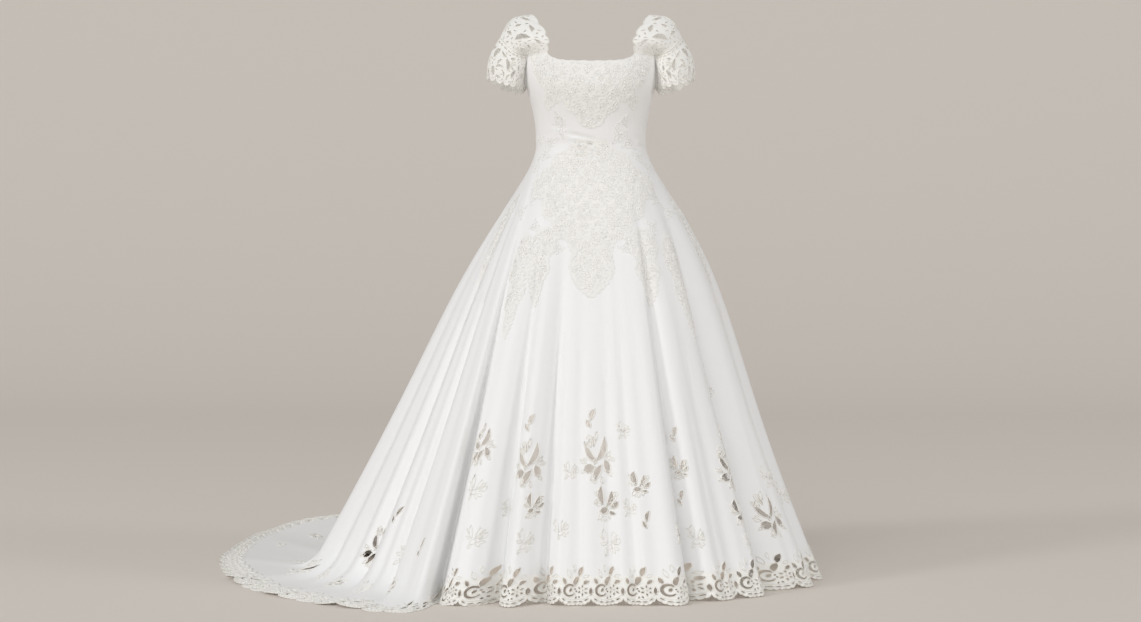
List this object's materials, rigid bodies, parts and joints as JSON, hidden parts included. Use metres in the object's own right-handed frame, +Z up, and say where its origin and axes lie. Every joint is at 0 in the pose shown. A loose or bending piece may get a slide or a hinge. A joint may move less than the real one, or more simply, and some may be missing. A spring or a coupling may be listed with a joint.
{
  "type": "wedding dress",
  "caption": "Wedding dress filled out as worn: scoop neck, short lace sleeves, pointed basque with laid lace, full folded skirt, cutwork leaves, scalloped lace hem and a floor train.",
  "frame": {"origin": "middle of the shoulder line, where the wearer's shoulders hold the dress up", "axes": "+Z up, -Y out of the front of the dress, +X towards the wearer's left; the train lies behind and towards -X"},
  "size_m": [1.6433, 2.3115, 1.45],
  "materials": {
    "white_satin": "satin",
    "ivory_lace": "matte",
    "satin_button": "satin"
  },
  "bodies": {
    "root": {"back_button_01": "satin_button", "back_button_02": "satin_button", "back_button_03": "satin_button", "back_button_04": "satin_button", "back_button_05": "satin_button", "back_button_06": "satin_button", "back_button_07": "satin_button", "back_button_08": "satin_button", "back_button_09": "satin_button", "back_button_10": "satin_button", "back_button_11": "satin_button", "back_button_12": "satin_button", "basque_lace": "ivory_lace", "bodice_back_left": "white_satin", "bodice_back_right": "white_satin", "bodice_front": "white_satin", "bodice_side_front_left": "white_satin", "bodice_side_front_right": "white_satin", "bust_lace": "ivory_lace", "hem_lace_back_left": "ivory_lace", "hem_lace_back_right": "ivory_lace", "hem_lace_front": "ivory_lace", "hem_lace_side_left": "ivory_lace", "hem_lace_side_right": "ivory_lace", "lace_drop_01": "ivory_lace", "lace_drop_02": "ivory_lace", "lace_drop_03": "ivory_lace", "lace_drop_04": "ivory_lace", "lace_drop_05": "ivory_lace", "lace_drop_06": "ivory_lace", "lace_drop_07": "ivory_lace", "lace_drop_08": "ivory_lace", "skirt_back_left": "white_satin", "skirt_back_right": "white_satin", "skirt_front": "white_satin", "skirt_side_left": "white_satin", "skirt_side_right": "white_satin", "sleeve_left_back": "ivory_lace", "sleeve_left_front": "ivory_lace", "sleeve_right_back": "ivory_lace", "sleeve_right_front": "ivory_lace", "strap_lace_left": "ivory_lace", "strap_lace_right": "ivory_lace"}
  },
  "joints": []
}
